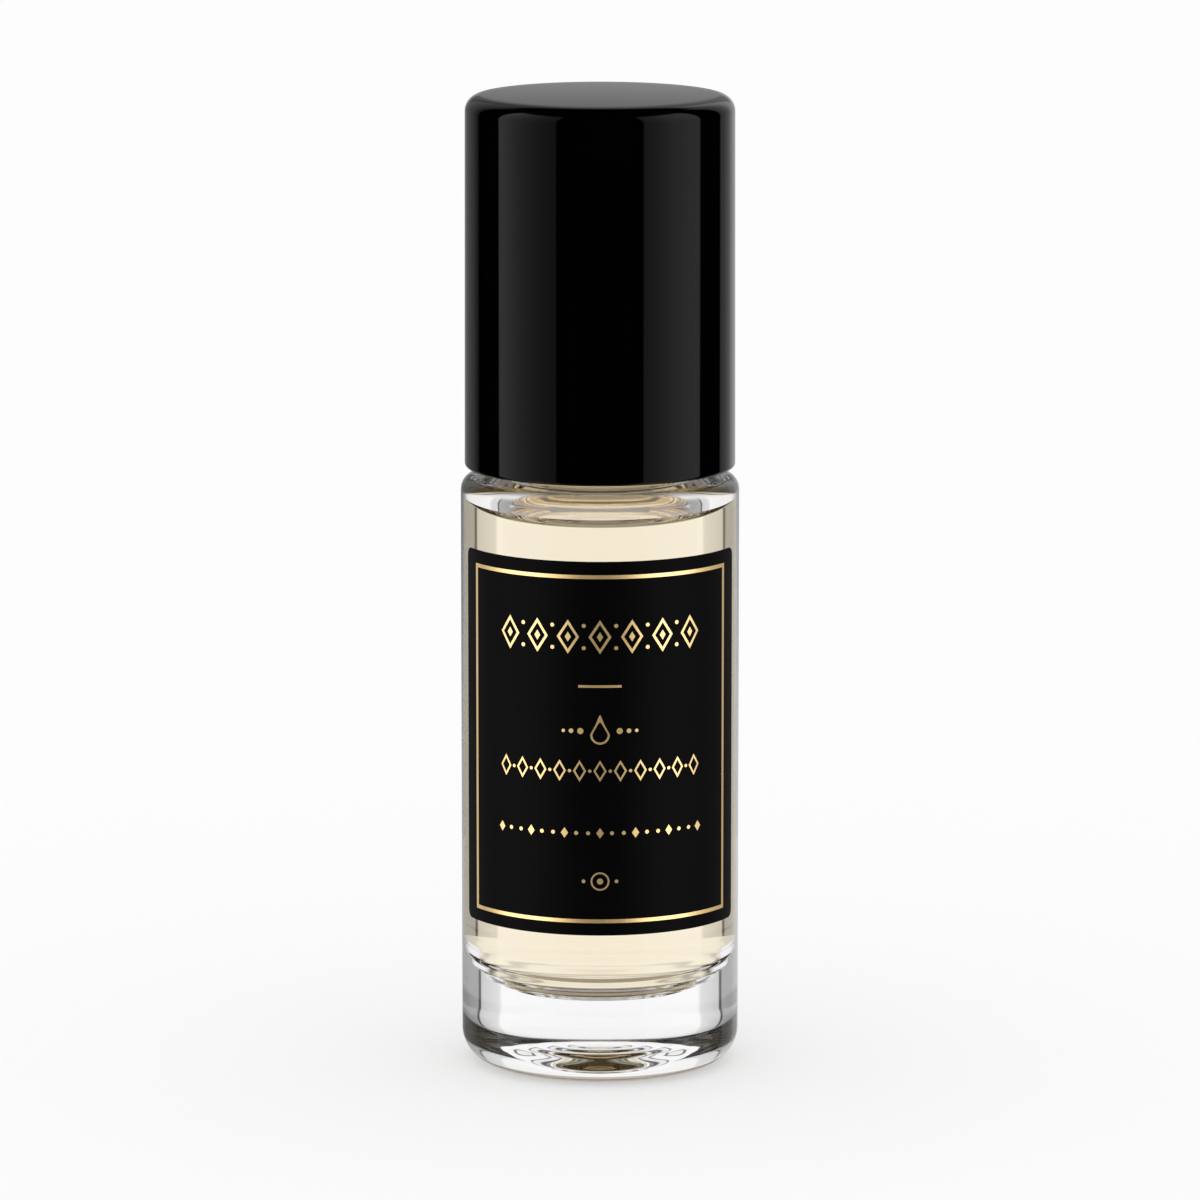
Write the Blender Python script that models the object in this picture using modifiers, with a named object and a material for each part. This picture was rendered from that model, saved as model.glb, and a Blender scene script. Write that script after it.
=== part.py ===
"""Roll-on perfume oil bottle, about 63 mm tall.

Metres, +Z up. The origin is the centre of the circle that the bottle stands on.
The label faces -Y. The cap turns about +Z and climbs the neck's right-hand thread.
"""
import math

import bmesh
import bpy

MM = 0.001

# Glass body
BODY_RADIUS = 9.0 * MM
SHOULDER_HEIGHT = 38.65 * MM
SHOULDER_RADIUS = 1.0 * MM
HEEL_RADIUS = 2.1 * MM
STANDING_RING_WIDTH = 0.6 * MM
PUNT_DEPTH = 1.6 * MM
WALL = 3.1 * MM
BASE_THICKNESS = 5.0 * MM
CAVITY_CORNER_RADIUS = 2.6 * MM
CAVITY_CREASE_ANGLE = math.radians(9)
CAVITY_FLOOR_DOME = 0.5 * MM
INNER_SHOULDER_DROP = 1.9 * MM
INNER_SHOULDER_RISE = 2.3 * MM

# Neck and thread
NECK_HEIGHT = 11.0 * MM
NECK_WALL = 1.3 * MM
NECK_LIP_RADIUS = 0.4 * MM
NECK_ROOT_FILLET = 0.6 * MM
THREAD_PITCH = 2.1 * MM
THREAD_TURNS = 1.5
THREAD_DROP = 3.0 * MM
THREAD_FADE = 1.6 * MM
THREAD_ROUND_SHARE = 0.24
THREAD_STAND_SHARE = 0.4
THREAD_TIP_SHARE = 0.15

# Oil
OIL_DROP = 0.8 * MM
OIL_CLEARANCE = 0.15 * MM

# Label
LABEL_ARC_WIDTH = 21.8 * MM
LABEL_THICKNESS = 0.12 * MM
LABEL_GLUE_LINE = 0.1 * MM
LABEL_TOP_MARGIN = 3.25 * MM
LABEL_BOTTOM_MARGIN = 8.0 * MM

# Roller ball and the housing that holds it
BALL_INSET = 0.25 * MM
BALL_CLEARANCE = 0.15 * MM
CUP_WALL = 0.45 * MM
CUP_LIP_RISE = 1.8 * MM
HEAD_WALL = 1.15 * MM
HEAD_ROUNDING = 0.6 * MM
FLANGE_THICKNESS = 0.7 * MM
PLUG_LENGTH = 6.4 * MM
PLUG_LEAD_IN = 0.5 * MM
PLUG_BEAD_HEIGHT = 0.15 * MM
PLUG_BEAD_WIDTH = 0.7 * MM
PLUG_BEADS = 3
PLUG_WALL = 1.8 * MM

# Cap, from the rim inwards to the thread
FIT_GAP = 0.3 * MM
LINER_WALL = 0.75 * MM
LINER_ROOF = 0.8 * MM
LINER_ROUNDING = 0.4 * MM
LINER_RECESS = 0.6 * MM
LINER_RIB_TURNS = 1.25
LINER_RIB_ROUND_SHARE = 0.2
SEAL_THICKNESS = 1.0 * MM
SEAL_CHAMFER = 0.1 * MM
SHELL_INSET = 0.26 * MM
SHELL_WALL = 1.02 * MM
SHELL_DRAFT = 0.07 * MM
SHELL_ROOF = 1.2 * MM
SHELL_TOP_FILLET = 1.05 * MM
SHELL_INNER_FILLET = 0.5 * MM
SHELL_RIM_ROUNDING = 0.25 * MM
SHELL_STANDOFF = 0.52 * MM
STOP_RIB_HEIGHT = 4.04 * MM
STOP_RIB_DEPTH = 1.4 * MM
STOP_RIB_THICKNESS = 0.8 * MM
STOP_RIBS = 6
RIB_OVERRUN = 0.4 * MM

# How finely the round shapes are cut
BODY_STEPS = 64
INNER_STEPS = 40
LABEL_STEPS = 36
BALL_SEGMENTS = 32
BALL_RINGS = 16
ARC_STEPS = 4
EASE_STEPS = 6
THREAD_STEPS = 24
THREAD_SIDES_RESOLUTION = 2
WELD = 0.01 * MM

# Radii that follow from the sizes above, from the outside inwards
PUNT_RADIUS = BODY_RADIUS - HEEL_RADIUS - STANDING_RING_WIDTH
CAVITY_RADIUS = BODY_RADIUS - WALL
SHELL_RIM_RADIUS = BODY_RADIUS - SHELL_INSET
SHELL_TOP_RADIUS = SHELL_RIM_RADIUS - SHELL_DRAFT
SHELL_BORE_RADIUS = SHELL_TOP_RADIUS - SHELL_WALL
LINER_RADIUS = SHELL_BORE_RADIUS - FIT_GAP
LINER_BORE_RADIUS = LINER_RADIUS - LINER_WALL
SEAL_RADIUS = LINER_BORE_RADIUS - FIT_GAP
THREAD_ROUNDING = THREAD_PITCH * THREAD_ROUND_SHARE
THREAD_STAND = THREAD_ROUNDING * THREAD_STAND_SHARE
NECK_ROOT_RADIUS = LINER_BORE_RADIUS - FIT_GAP - THREAD_ROUNDING - THREAD_STAND
LINER_RIB_ROUNDING = THREAD_PITCH * LINER_RIB_ROUND_SHARE
LINER_RIB_STAND = LINER_BORE_RADIUS - NECK_ROOT_RADIUS - FIT_GAP - LINER_RIB_ROUNDING
NECK_BORE_RADIUS = NECK_ROOT_RADIUS - NECK_WALL
PLUG_RADIUS = NECK_BORE_RADIUS - FIT_GAP
FLOW_BORE_RADIUS = PLUG_RADIUS - PLUG_WALL
BALL_RADIUS = PLUG_RADIUS - BALL_INSET
CUP_RADIUS = BALL_RADIUS + BALL_CLEARANCE
CUP_RADIUS_AT_SEAT = PLUG_RADIUS - CUP_WALL
HEAD_RADIUS = CUP_RADIUS + HEAD_WALL
FLANGE_RADIUS = max(NECK_ROOT_RADIUS, HEAD_RADIUS)

# Heights that follow from the sizes above, from the glass upwards
INNER_SHOULDER = SHOULDER_HEIGHT - INNER_SHOULDER_DROP
OIL_LEVEL = INNER_SHOULDER - OIL_DROP
NECK_TOP = SHOULDER_HEIGHT + NECK_HEIGHT
THREAD_START = NECK_TOP - THREAD_DROP - THREAD_TURNS * THREAD_PITCH
HOUSING_SEAT = NECK_TOP + FIT_GAP
BALL_CENTRE = HOUSING_SEAT + math.sqrt(max(CUP_RADIUS ** 2 - CUP_RADIUS_AT_SEAT ** 2, 0))
SEAL_BOTTOM = BALL_CENTRE + BALL_RADIUS + FIT_GAP
SEAL_TOP = SEAL_BOTTOM + SEAL_THICKNESS
LINER_CEILING = SEAL_TOP + FIT_GAP
LINER_TOP = LINER_CEILING + LINER_ROOF
SHELL_BOTTOM = SHOULDER_HEIGHT + SHELL_STANDOFF
LINER_BOTTOM = SHELL_BOTTOM + LINER_RECESS
STOP_RIB_BOTTOM = LINER_TOP + FIT_GAP
SHELL_CEILING = STOP_RIB_BOTTOM + STOP_RIB_HEIGHT
SHELL_TOP = SHELL_CEILING + SHELL_ROOF


def clear_scene():
    for thing in list(bpy.data.objects):
        bpy.data.objects.remove(thing, do_unlink=True)


def new_collection(name):
    collection = bpy.data.collections.new(name)
    bpy.context.scene.collection.children.link(collection)
    return collection


clear_scene()
PIECES = new_collection("roll_on_perfume_oil_bottle")
CUTTERS = new_collection("cutters")


def plain_material(name, colour, roughness, metallic=0.0, transmission=0.0, ior=1.5):
    material = bpy.data.materials.new(name)
    material.use_nodes = True
    material.diffuse_color = (*colour, 1.0)
    shader = material.node_tree.nodes["Principled BSDF"]
    shader.inputs["Base Color"].default_value = (*colour, 1.0)
    shader.inputs["Roughness"].default_value = roughness
    shader.inputs["Metallic"].default_value = metallic
    shader.inputs["Transmission Weight"].default_value = transmission
    shader.inputs["IOR"].default_value = ior
    return material


def add_piece(name, mesh, material, height=0.0):
    """A named object whose origin is on the bottle's axis, at the given height."""
    piece = bpy.data.objects.new(name, mesh)
    piece.location = (0.0, 0.0, height)
    mesh.materials.append(material)
    PIECES.objects.link(piece)
    return piece


def add_cutter(name, mesh):
    cutter = bpy.data.objects.new(name, mesh)
    CUTTERS.objects.link(cutter)
    cutter.hide_render = True
    cutter.display_type = "WIRE"
    return cutter


def join_to(piece, addition, name):
    """Fuses a hidden shape into a piece, so that the two are one solid."""
    union = piece.modifiers.new(name, "BOOLEAN")
    union.operation = "UNION"
    union.solver = "EXACT"
    union.object = addition


def arc(centre_r, centre_z, radius, start_deg, end_deg):
    """Points on an arc in the profile plane. 0 degrees points away from the axis, 90 up."""
    points = []
    for i in range(ARC_STEPS + 1):
        angle = math.radians(start_deg + (end_deg - start_deg) * i / ARC_STEPS)
        points.append((centre_r + radius * math.cos(angle), centre_z + radius * math.sin(angle)))
    return points


def ease(start, end):
    """Points on a smooth S-curve that starts and ends parallel to the axis."""
    points = []
    for i in range(EASE_STEPS + 1):
        share = i / EASE_STEPS
        turned_share = 0.5 - 0.5 * math.cos(math.pi * share)
        r = start[0] + (end[0] - start[0]) * turned_share
        points.append((r, start[1] + (end[1] - start[1]) * share))
    return points


def bowl(radius, rim_z, centre_z):
    """Points on a parabola from the axis out to its rim."""
    points = []
    for i in range(ARC_STEPS + 1):
        share = i / ARC_STEPS
        points.append((radius * share, centre_z + (rim_z - centre_z) * share ** 2))
    return points


def cavity_floor(clearance):
    """The domed floor and rounded corner at the bottom of the bottle's cavity, from the axis outwards.

    The two meet in a crease. With a clearance it is the same surface moved inwards, which is the
    underside of the oil.
    """
    corner_radius = CAVITY_CORNER_RADIUS - clearance
    start_deg = math.degrees(CAVITY_CREASE_ANGLE) - 90.0
    corner_centre_r = CAVITY_RADIUS - CAVITY_CORNER_RADIUS
    corner_centre_z = BASE_THICKNESS + CAVITY_CORNER_RADIUS * math.cos(CAVITY_CREASE_ANGLE)
    corner = arc(corner_centre_r, corner_centre_z, corner_radius, start_deg, 0.0)
    rim_r, rim_z = corner[0]
    return bowl(rim_r, rim_z, BASE_THICKNESS + CAVITY_FLOOR_DOME + clearance)[:-1] + corner


def turn(name, profile, steps, material, height=0.0, closed=False):
    """A solid of revolution about Z. The outer side of its profile runs from top to bottom."""
    mesh = bpy.data.meshes.new(name)
    points = [(r, 0.0, z - height) for r, z in profile]
    edges = [(i, i + 1) for i in range(len(points) - 1)]
    if closed:
        edges.append((len(points) - 1, 0))
    mesh.from_pydata(points, edges, [])
    piece = add_piece(name, mesh, material, height)
    screw = piece.modifiers.new("turned", "SCREW")
    screw.axis = "Z"
    screw.angle = math.tau
    screw.steps = steps
    screw.render_steps = steps
    screw.use_merge_vertices = True
    screw.merge_threshold = WELD
    screw.use_smooth_shade = True
    return piece


def helical_rib(name, wall_radius, stand, rounding, start_z, turns):
    """A round rib that climbs a wall about Z with the thread's pitch and fades into it at both ends.

    Its middle stands off the wall by the given distance, outwards where that is positive.
    """
    curve = bpy.data.curves.new(name, "CURVE")
    curve.dimensions = "3D"
    curve.bevel_depth = rounding
    curve.bevel_resolution = THREAD_SIDES_RESOLUTION
    curve.use_fill_caps = True
    spline = curve.splines.new("POLY")
    count = round(THREAD_STEPS * turns) + 1
    spline.points.add(count - 1)
    run = turns * math.tau * wall_radius
    for i, point in enumerate(spline.points):
        share = i / (count - 1)
        distance_to_end = run * min(share, 1.0 - share)
        swell = math.sin(0.5 * math.pi * min(distance_to_end / THREAD_FADE, 1.0))
        point.radius = THREAD_TIP_SHARE + (1.0 - THREAD_TIP_SHARE) * swell
        radius = wall_radius + stand * point.radius
        angle = math.tau * turns * share
        z = start_z + THREAD_PITCH * turns * share
        point.co = (radius * math.cos(angle), radius * math.sin(angle), z, 1.0)
    tube = bpy.data.objects.new(name + "_curve", curve)
    CUTTERS.objects.link(tube)
    evaluated = tube.evaluated_get(bpy.context.evaluated_depsgraph_get())
    mesh = bpy.data.meshes.new_from_object(evaluated)
    caps = bmesh.new()
    caps.from_mesh(mesh)
    bmesh.ops.remove_doubles(caps, verts=caps.verts, dist=WELD)
    caps.to_mesh(mesh)
    caps.free()
    rib = add_cutter(name, mesh)
    rib.matrix_world = tube.matrix_world
    bpy.data.objects.remove(tube, do_unlink=True)
    return rib


def make_glass_bottle(glass):
    profile = cavity_floor(0.0)
    profile += ease((CAVITY_RADIUS, INNER_SHOULDER),
                    (NECK_BORE_RADIUS, INNER_SHOULDER + INNER_SHOULDER_RISE))
    profile += arc(NECK_BORE_RADIUS + NECK_LIP_RADIUS, NECK_TOP - NECK_LIP_RADIUS,
                   NECK_LIP_RADIUS, 180, 90)
    profile += arc(NECK_ROOT_RADIUS - NECK_LIP_RADIUS, NECK_TOP - NECK_LIP_RADIUS,
                   NECK_LIP_RADIUS, 90, 0)
    profile += arc(NECK_ROOT_RADIUS + NECK_ROOT_FILLET, SHOULDER_HEIGHT + NECK_ROOT_FILLET,
                   NECK_ROOT_FILLET, 180, 270)
    profile += arc(BODY_RADIUS - SHOULDER_RADIUS, SHOULDER_HEIGHT - SHOULDER_RADIUS,
                   SHOULDER_RADIUS, 90, 0)
    profile += arc(BODY_RADIUS - HEEL_RADIUS, HEEL_RADIUS, HEEL_RADIUS, 0, -90)
    profile += reversed(bowl(PUNT_RADIUS, 0.0, PUNT_DEPTH))
    bottle = turn("glass_bottle", profile, BODY_STEPS, glass)
    thread = helical_rib("neck_thread", NECK_ROOT_RADIUS, THREAD_STAND, THREAD_ROUNDING,
                         THREAD_START, THREAD_TURNS)
    join_to(bottle, thread, "neck thread")
    return bottle


def make_perfume_oil(oil):
    profile = [(0.0, OIL_LEVEL), (CAVITY_RADIUS - OIL_CLEARANCE, OIL_LEVEL)]
    profile += reversed(cavity_floor(OIL_CLEARANCE))
    return turn("perfume_oil", profile, INNER_STEPS, oil)


def make_front_label(film):
    """A strip of film bent round the front of the glass."""
    bottom = HEEL_RADIUS + LABEL_BOTTOM_MARGIN
    top = SHOULDER_HEIGHT - SHOULDER_RADIUS - LABEL_TOP_MARGIN
    radius = BODY_RADIUS + LABEL_GLUE_LINE
    mesh = bpy.data.meshes.new("front_label")
    mesh.from_pydata([(radius, 0.0, top - bottom), (radius, 0.0, 0.0)], [(0, 1)], [])
    label = add_piece("front_label", mesh, film, bottom)
    wrap_angle = LABEL_ARC_WIDTH / BODY_RADIUS
    label.rotation_euler = (0.0, 0.0, -0.5 * math.pi - 0.5 * wrap_angle)
    wrap = label.modifiers.new("wrapped round the glass", "SCREW")
    wrap.axis = "Z"
    wrap.angle = wrap_angle
    wrap.steps = LABEL_STEPS
    wrap.render_steps = LABEL_STEPS
    wrap.use_smooth_shade = True
    film_wall = label.modifiers.new("film thickness", "SOLIDIFY")
    film_wall.thickness = LABEL_THICKNESS
    film_wall.offset = 1.0
    return label


def make_roller_housing(plastic):
    """The plug in the neck's bore, with the cup that holds the ball past its widest ring."""
    lip_z = BALL_CENTRE + CUP_LIP_RISE
    lip_deg = math.degrees(math.asin(CUP_LIP_RISE / CUP_RADIUS))
    drain_deg = -math.degrees(math.acos(FLOW_BORE_RADIUS / CUP_RADIUS))
    plug_bottom = HOUSING_SEAT - PLUG_LENGTH
    profile = arc(HEAD_RADIUS - HEAD_ROUNDING, lip_z - HEAD_ROUNDING, HEAD_ROUNDING, 90, 0)
    profile += [(HEAD_RADIUS, HOUSING_SEAT + FLANGE_THICKNESS)]
    if FLANGE_RADIUS > HEAD_RADIUS:
        profile += [(FLANGE_RADIUS, HOUSING_SEAT + FLANGE_THICKNESS)]
    profile += [(FLANGE_RADIUS, HOUSING_SEAT), (PLUG_RADIUS, HOUSING_SEAT)]
    bead_spacing = (PLUG_LENGTH - PLUG_LEAD_IN) / (PLUG_BEADS + 1)
    for i in range(PLUG_BEADS):
        bead_z = HOUSING_SEAT - bead_spacing * (i + 1)
        profile += [(PLUG_RADIUS, bead_z + 0.5 * PLUG_BEAD_WIDTH),
                    (PLUG_RADIUS + PLUG_BEAD_HEIGHT, bead_z),
                    (PLUG_RADIUS, bead_z - 0.5 * PLUG_BEAD_WIDTH)]
    profile += [(PLUG_RADIUS, plug_bottom + PLUG_LEAD_IN),
                (PLUG_RADIUS - PLUG_LEAD_IN, plug_bottom),
                (FLOW_BORE_RADIUS, plug_bottom)]
    profile += arc(0.0, BALL_CENTRE, CUP_RADIUS, drain_deg, lip_deg)
    return turn("roller_housing", profile, INNER_STEPS, plastic, HOUSING_SEAT, closed=True)


def make_roller_ball(steel):
    mesh = bpy.data.meshes.new("roller_ball")
    ball = bmesh.new()
    bmesh.ops.create_uvsphere(ball, u_segments=BALL_SEGMENTS, v_segments=BALL_RINGS,
                              radius=BALL_RADIUS)
    ball.to_mesh(mesh)
    ball.free()
    mesh.shade_smooth()
    return add_piece("roller_ball", mesh, steel, BALL_CENTRE)


def make_cap_seal_disc(foam):
    profile = [(0.0, SEAL_TOP),
               (SEAL_RADIUS - SEAL_CHAMFER, SEAL_TOP),
               (SEAL_RADIUS, SEAL_TOP - SEAL_CHAMFER),
               (SEAL_RADIUS, SEAL_BOTTOM + SEAL_CHAMFER),
               (SEAL_RADIUS - SEAL_CHAMFER, SEAL_BOTTOM),
               (0.0, SEAL_BOTTOM)]
    return turn("cap_seal_disc", profile, INNER_STEPS, foam, SEAL_BOTTOM)


def make_cap_liner(plastic):
    """The threaded insert. Its rib runs under the neck's thread and pulls the cap down."""
    lead_in = 0.5 * LINER_WALL
    profile = [(0.0, LINER_TOP)]
    profile += arc(LINER_RADIUS - LINER_ROUNDING, LINER_TOP - LINER_ROUNDING, LINER_ROUNDING, 90, 0)
    profile += [(LINER_RADIUS, LINER_BOTTOM),
                (LINER_BORE_RADIUS + lead_in, LINER_BOTTOM),
                (LINER_BORE_RADIUS, LINER_BOTTOM + lead_in),
                (LINER_BORE_RADIUS, LINER_CEILING),
                (0.0, LINER_CEILING)]
    liner = turn("cap_liner", profile, INNER_STEPS, plastic, LINER_BOTTOM)
    rib = helical_rib("liner_rib", LINER_BORE_RADIUS, -LINER_RIB_STAND, LINER_RIB_ROUNDING,
                      THREAD_START - 0.5 * THREAD_PITCH, LINER_RIB_TURNS)
    join_to(liner, rib, "threaded rib")
    return liner


def stop_ribs():
    """Upright fins under the shell's roof, which the liner's roof butts against."""
    ribs = bmesh.new()
    width = STOP_RIB_DEPTH + RIB_OVERRUN
    height = STOP_RIB_HEIGHT + RIB_OVERRUN
    for i in range(STOP_RIBS):
        fin = bmesh.ops.create_cube(ribs, size=1.0)
        bmesh.ops.scale(ribs, vec=(width, STOP_RIB_THICKNESS, height), verts=fin["verts"])
        bmesh.ops.translate(ribs, verts=fin["verts"],
                            vec=(SHELL_BORE_RADIUS - STOP_RIB_DEPTH + 0.5 * width, 0.0,
                                 STOP_RIB_BOTTOM + 0.5 * height))
        turned = math.tau * i / STOP_RIBS
        spin = ((math.cos(turned), -math.sin(turned), 0.0),
                (math.sin(turned), math.cos(turned), 0.0),
                (0.0, 0.0, 1.0))
        for vert in fin["verts"]:
            vert.co = [sum(row[k] * vert.co[k] for k in range(3)) for row in spin]
    mesh = bpy.data.meshes.new("stop_ribs")
    ribs.to_mesh(mesh)
    ribs.free()
    return add_cutter("stop_ribs", mesh)


def make_cap_shell(gloss):
    profile = [(0.0, SHELL_TOP)]
    profile += arc(SHELL_TOP_RADIUS - SHELL_TOP_FILLET, SHELL_TOP - SHELL_TOP_FILLET,
                   SHELL_TOP_FILLET, 90, 0)
    profile += arc(SHELL_RIM_RADIUS - SHELL_RIM_ROUNDING, SHELL_BOTTOM + SHELL_RIM_ROUNDING,
                   SHELL_RIM_ROUNDING, 0, -90)
    profile += [(SHELL_BORE_RADIUS, SHELL_BOTTOM)]
    profile += arc(SHELL_BORE_RADIUS - SHELL_INNER_FILLET, SHELL_CEILING - SHELL_INNER_FILLET,
                   SHELL_INNER_FILLET, 0, 90)
    profile += [(0.0, SHELL_CEILING)]
    shell = turn("cap_shell", profile, BODY_STEPS, gloss, SHELL_BOTTOM)
    join_to(shell, stop_ribs(), "stop ribs")
    return shell


def add_axis(name, parent, height):
    """An empty on the bottle's axis, which carries what moves together."""
    axis = bpy.data.objects.new(name, None)
    axis.location = (0.0, 0.0, height)
    PIECES.objects.link(axis)
    axis.parent = parent
    return axis


def carry(axis, height, pieces):
    for piece in pieces:
        piece.parent = axis
        piece.location.z -= height


def build():
    clear_glass = plain_material("clear_glass", (0.96, 0.97, 0.97), 0.02, transmission=1.0, ior=1.5)
    pale_oil = plain_material("pale_oil", (0.93, 0.84, 0.66), 0.02, transmission=1.0, ior=1.46)
    black_film = plain_material("black_film", (0.01, 0.01, 0.011), 0.35)
    natural_plastic = plain_material("natural_plastic", (0.86, 0.86, 0.83), 0.4)
    polished_steel = plain_material("polished_steel", (0.78, 0.78, 0.79), 0.12, metallic=1.0)
    gloss_black = plain_material("gloss_black", (0.008, 0.008, 0.009), 0.08)
    white_plastic = plain_material("white_plastic", (0.82, 0.82, 0.8), 0.45)
    foam = plain_material("foam", (0.9, 0.9, 0.88), 0.8)

    make_glass_bottle(clear_glass)
    make_perfume_oil(pale_oil)
    make_front_label(black_film)
    make_roller_housing(natural_plastic)
    make_roller_ball(polished_steel)
    seal = make_cap_seal_disc(foam)
    liner = make_cap_liner(white_plastic)
    shell = make_cap_shell(gloss_black)

    cap_lift = add_axis("cap_lift", None, SHELL_BOTTOM)
    cap_turn = add_axis("cap_turn", cap_lift, 0.0)
    carry(cap_lift, SHELL_BOTTOM, [seal])
    carry(cap_turn, SHELL_BOTTOM, [liner, shell])


build()
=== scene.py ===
# %% [markdown]
# # A roll-on perfume oil bottle, dressed for its portrait
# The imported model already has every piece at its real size, cut with coarse facets. This lesson turns
# the same pieces again on finer steps, gives each one its finish, and lights them as a product
# photographer would. Everything is in metres, +Z is up, the bottle stands on the origin and its
# label faces -Y.

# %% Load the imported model
import math

import bpy
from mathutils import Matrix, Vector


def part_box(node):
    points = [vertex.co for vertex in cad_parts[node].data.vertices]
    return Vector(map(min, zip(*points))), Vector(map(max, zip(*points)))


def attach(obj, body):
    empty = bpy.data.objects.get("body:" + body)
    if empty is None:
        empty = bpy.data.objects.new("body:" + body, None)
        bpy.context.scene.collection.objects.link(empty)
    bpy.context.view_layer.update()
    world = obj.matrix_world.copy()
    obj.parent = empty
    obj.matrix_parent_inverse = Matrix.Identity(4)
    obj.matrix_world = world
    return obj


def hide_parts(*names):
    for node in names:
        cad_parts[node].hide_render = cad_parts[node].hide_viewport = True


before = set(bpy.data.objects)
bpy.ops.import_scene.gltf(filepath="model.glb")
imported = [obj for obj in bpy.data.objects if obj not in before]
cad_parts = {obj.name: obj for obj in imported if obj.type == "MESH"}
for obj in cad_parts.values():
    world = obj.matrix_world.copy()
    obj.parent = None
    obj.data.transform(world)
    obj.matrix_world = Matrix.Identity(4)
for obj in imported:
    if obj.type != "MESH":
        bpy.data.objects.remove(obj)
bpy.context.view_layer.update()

MM = 0.001

# %% [markdown]
# ## Sizes
# A lathe worker starts from gauge sizes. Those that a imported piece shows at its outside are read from
# that piece, so that the fine pieces can't drift from it. The others, such as walls and rounded edges,
# are written here once.

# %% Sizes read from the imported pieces
glass_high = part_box("glass_bottle")[1]
oil_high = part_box("perfume_oil")[1]
label_low, label_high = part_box("front_label")
housing_low, housing_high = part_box("roller_housing")
ball_low, ball_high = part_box("roller_ball")
seal_low, seal_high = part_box("cap_seal_disc")
liner_low, liner_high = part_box("cap_liner")
shell_low, shell_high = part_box("cap_shell")

body_radius = glass_high[0]
neck_top = glass_high[2]
oil_level = oil_high[2]
ball_radius = 0.5 * (ball_high[2] - ball_low[2])
ball_centre = 0.5 * (ball_high[2] + ball_low[2])
print("glass", round(2 * body_radius / MM, 2), "mm across and ball",
      round(2 * ball_radius / MM, 2), "mm across")

# %% Walls, edges and threads of the glass
shoulder_height = 38.65 * MM
shoulder_radius = 1.0 * MM
heel_radius = 2.1 * MM
standing_ring_width = 0.6 * MM
punt_depth = 1.6 * MM
glass_wall = 3.1 * MM
base_thickness = 5.0 * MM
floor_corner_radius = 2.6 * MM
floor_crease_angle = 9.0
floor_dome = 0.5 * MM
inner_shoulder = shoulder_height - 1.45 * MM
inner_shoulder_rise = 1.85 * MM
neck_wall = 1.3 * MM
neck_lip_radius = 0.4 * MM
neck_root_fillet = 0.6 * MM
fit_gap = 0.3 * MM
thread_pitch = 2.1 * MM
thread_turns = 1.5
thread_fade = 1.6 * MM
thread_rounding = 0.24 * thread_pitch
thread_stand = 0.4 * thread_rounding
thread_start = neck_top - 3.0 * MM - thread_turns * thread_pitch
liner_wall = 0.75 * MM
liner_radius = liner_high[0]
liner_bore_radius = liner_radius - liner_wall
neck_root_radius = liner_bore_radius - fit_gap - thread_rounding - thread_stand
neck_bore_radius = neck_root_radius - neck_wall
cavity_radius = body_radius - glass_wall
print("cavity", round(2 * cavity_radius / MM, 2), "mm across and neck",
      round(2 * neck_root_radius / MM, 2), "mm across")

# %% [markdown]
# ## A lathe made of two tools
# Nearly every piece here is round, because it comes out of a mould or off a lathe. By hand, such a
# piece is half of its outline, traced point by point with Extrude, and then spun once round the axis
# with Spin. A Screw modifier would do the same, but Spin leaves a plain mesh that can be worked on at
# once. The outline is a list of radius and height pairs, and small helpers give its rounded edges.

# %% Outline helpers
def arc(centre_r, centre_z, radius, start_deg, end_deg, steps=12):
    """Points on an arc of an outline: 0 degrees points away from the axis and 90 degrees up."""
    points = []
    for i in range(steps + 1):
        angle = math.radians(start_deg + (end_deg - start_deg) * i / steps)
        points.append((centre_r + radius * math.cos(angle), centre_z + radius * math.sin(angle)))
    return points


def straight(start, end, spacing):
    """Points along a straight run, where it needs rings between its two ends."""
    steps = max(1, round(math.dist(start, end) / spacing))
    return [(start[0] + (end[0] - start[0]) * i / steps,
             start[1] + (end[1] - start[1]) * i / steps) for i in range(steps + 1)]


def ease(start, end, steps=24):
    """A smooth S-curve that starts and ends parallel to the axis."""
    points = []
    for i in range(steps + 1):
        turned = 0.5 - 0.5 * math.cos(math.pi * i / steps)
        points.append((start[0] + (end[0] - start[0]) * turned,
                       start[1] + (end[1] - start[1]) * i / steps))
    return points


def bowl(radius, rim_z, centre_z, steps=24):
    """A parabola from the axis out to its rim."""
    return [(radius * i / steps, centre_z + (rim_z - centre_z) * (i / steps) ** 2)
            for i in range(steps + 1)]


# %% Trace and spin
weld = 0.002 * MM
around_steps = 256


def pick(piece):
    """Selects one piece alone and makes it the active one."""
    bpy.ops.object.select_all(action="DESELECT")
    piece.select_set(True)
    bpy.context.view_layer.objects.active = piece


def edit_all():
    """Edit mode with every point of the active piece selected."""
    bpy.ops.object.mode_set(mode="EDIT")
    bpy.ops.mesh.select_all(action="SELECT")


def start_point(name, place):
    """One vertex in edit mode: a small plane merged at its centre and moved to its place."""
    bpy.ops.mesh.primitive_plane_add(size=MM, location=(0, 0, 0))
    piece = bpy.context.object
    piece.name = name
    piece.data.name = name
    edit_all()
    bpy.ops.mesh.merge(type="CENTER")
    bpy.ops.transform.translate(value=place)
    return piece


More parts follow.
